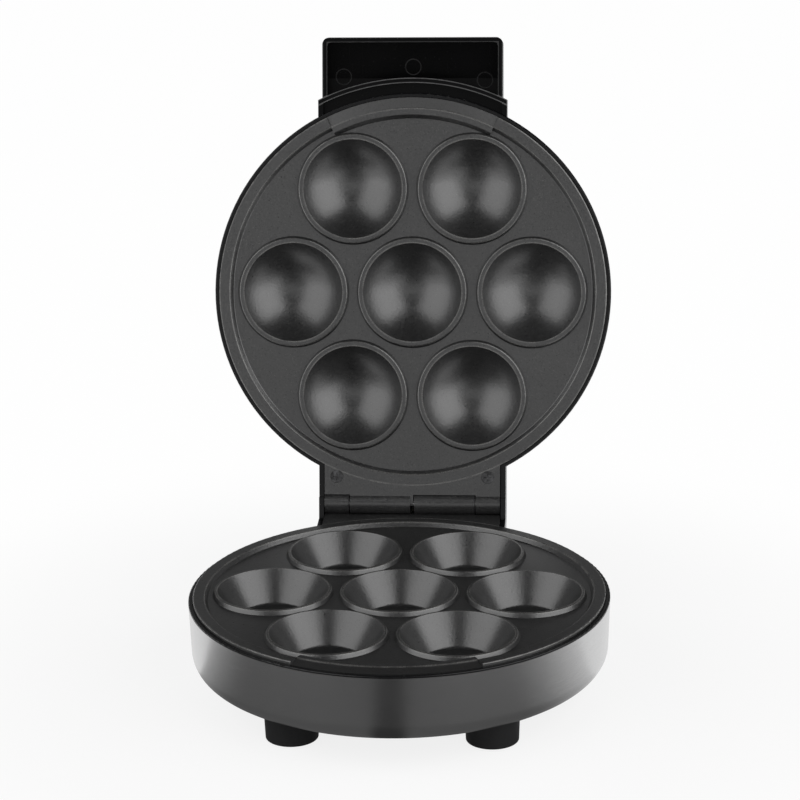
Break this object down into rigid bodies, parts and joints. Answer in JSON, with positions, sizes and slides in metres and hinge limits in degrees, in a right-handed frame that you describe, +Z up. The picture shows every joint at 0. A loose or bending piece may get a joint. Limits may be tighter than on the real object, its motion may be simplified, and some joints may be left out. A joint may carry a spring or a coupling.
{
  "type": "cupcake maker",
  "caption": "Round countertop cupcake maker with a hinged lid, conical cups in the base, domed hollows in the lid, a flat front handle and small feet.",
  "frame": {"origin": "centre of the footprint of the whole object with its lid open, on the countertop", "axes": "+Z up, -Y towards the user, +X to the user's right; lid open on its stop at rest"},
  "size_m": [0.1962, 0.28, 0.2774],
  "materials": {
    "housing": "black moulded heat-resistant plastic, semi-gloss",
    "handle": "black moulded plastic, semi-gloss, lightly worn where it is gripped",
    "foot": "black moulded plastic, semi-gloss",
    "pad_rubber": "black rubber, matt",
    "skin_steel": "thin stainless sheet, satin, brushed round the body",
    "skin_aluminium": "thin aluminium sheet, satin, brushed round the lid",
    "cover_plastic": "black moulded plastic, fine texture",
    "plate_coating": "cast aluminium under a charcoal non-stick coating, satin with fine speckle",
    "heater_steel": "drawn stainless tube, dull, heat-tinted",
    "clamp_steel": "pressed zinc-plated steel",
    "reflector_aluminium": "thin rolled aluminium sheet",
    "fastener_steel": "zinc-plated steel",
    "blackened_screw": "dark plated steel with bare edges at the cross",
    "pin_steel": "ground steel",
    "thermostat_body": "pressed cap on a ceramic body",
    "fuse_case": "metal case, dull",
    "terminal_ceramic": "cream heat-resistant moulding",
    "gland_rubber": "black moulded bush, matt",
    "lead_sleeving": "off-white woven glass sleeving",
    "sleeve": "black flexible sleeve",
    "lens_red": "clear red plastic",
    "lens_green": "clear green plastic",
    "lamp_glass": "clear glass neon lamp"
  },
  "bodies": {
    "base": {"base_housing": "housing", "base_band": "skin_steel", "bottom_cover": "cover_plastic", "base_plate": "plate_coating", "base_heater": "heater_steel", "base_heater_clamp": "clamp_steel", "base_heater_screws": "fastener_steel", "base_reflector": "reflector_aluminium", "base_reflector_screws": "fastener_steel", "base_plate_screws": "fastener_steel", "hinge_block_screws": "fastener_steel", "bottom_cover_screws": "fastener_steel", "foot_screws": "fastener_steel", "thermostat": "thermostat_body", "thermostat_screws": "fastener_steel", "thermal_fuse": "fuse_case", "fuse_clip": "clamp_steel", "fuse_screw": "fastener_steel", "terminal_block": "terminal_ceramic", "terminal_block_screws": "fastener_steel", "cord_gland": "gland_rubber", "hinge_pin": "pin_steel", "heater_leads": "lead_sleeving", "thermostat_lead": "lead_sleeving", "supply_lead": "lead_sleeving", "switched_lead": "lead_sleeving", "hinge_sleeve": "sleeve", "foot_front_left": "foot", "foot_pad_front_left": "pad_rubber", "foot_front_right": "foot", "foot_pad_front_right": "pad_rubber", "foot_rear_left": "foot", "foot_pad_rear_left": "pad_rubber", "foot_rear_right": "foot", "foot_pad_rear_right": "pad_rubber"},
    "lid": {"lid_plate": "plate_coating", "lid_plate_screws_rear": "blackened_screw", "lid_plate_screws_front": "fastener_steel", "lid_heater": "heater_steel", "lid_heater_clamp": "clamp_steel", "lid_heater_screws": "fastener_steel", "lid_reflector": "reflector_aluminium", "lid_reflector_screws": "fastener_steel", "lid_leads": "lead_sleeving", "lid_housing": "housing", "lid_cover": "skin_aluminium", "lid_cover_nuts": "fastener_steel", "handle": "handle", "handle_screws": "fastener_steel", "lens_red": "lens_red", "lens_green": "lens_green", "lamp_red": "lamp_glass", "lamp_green": "lamp_glass"}
  },
  "joints": [
    {"name": "lid_hinge", "type": "hinge", "parent": "base", "child": "lid", "pos_m": [0, 0.06324, 0.053], "axis": [1, 0, 0], "range_deg": [0, 103.7], "deforming": ["hinge_sleeve"]}
  ]
}
